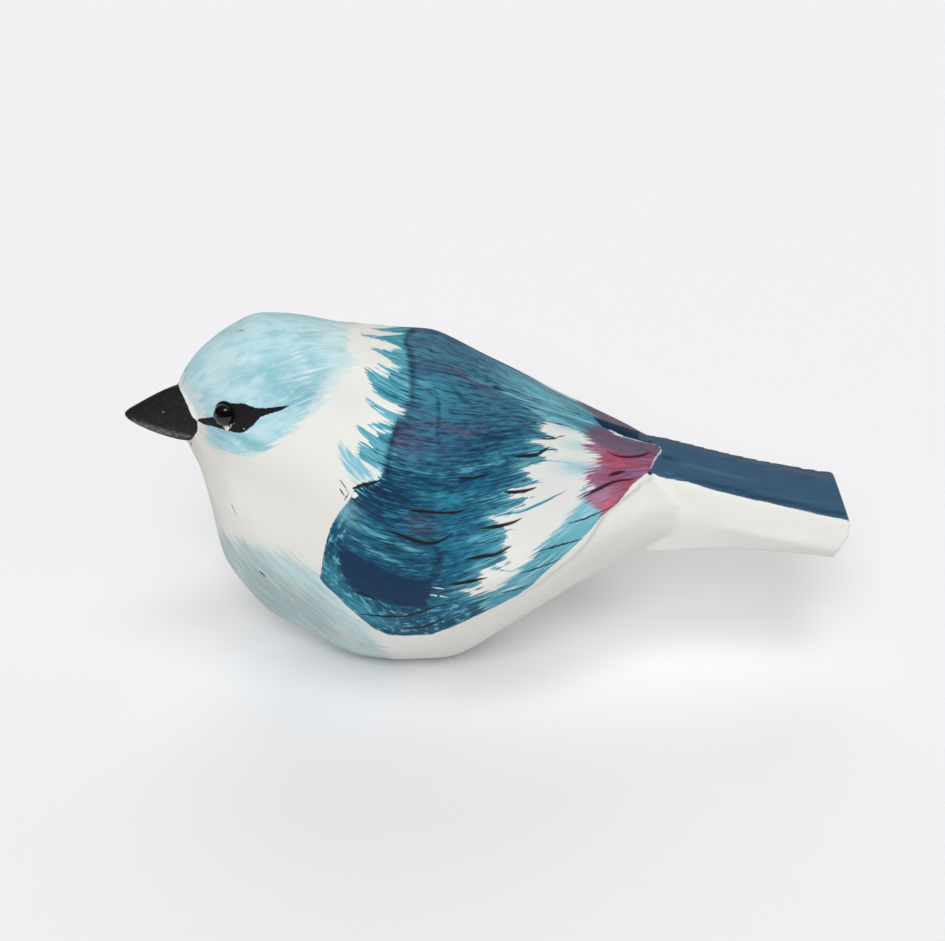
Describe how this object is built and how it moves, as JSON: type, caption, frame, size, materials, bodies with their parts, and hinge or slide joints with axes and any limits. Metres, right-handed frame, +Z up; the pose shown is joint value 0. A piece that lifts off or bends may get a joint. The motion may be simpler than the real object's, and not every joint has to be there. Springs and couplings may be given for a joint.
{
  "type": "wooden bird statuette",
  "caption": "Carved and painted wooden songbird resting on its flat belly, with glass bead eyes and a raised tail.",
  "frame": {"origin": "middle of the bounding box, on the surface the bird rests on", "axes": "+Z up; the beak points to -X and the tail to +X; the bird is the same on both sides of Y = 0"},
  "size_m": [0.105, 0.0442, 0.0543],
  "materials": {
    "painted_wood": "brushed acrylic paint on whittled wood, satin to matt",
    "black_glass": "polished opaque black glass bead"
  },
  "bodies": {
    "root": {"bird_body": "painted_wood", "eye_left": "black_glass", "eye_right": "black_glass"}
  },
  "joints": []
}
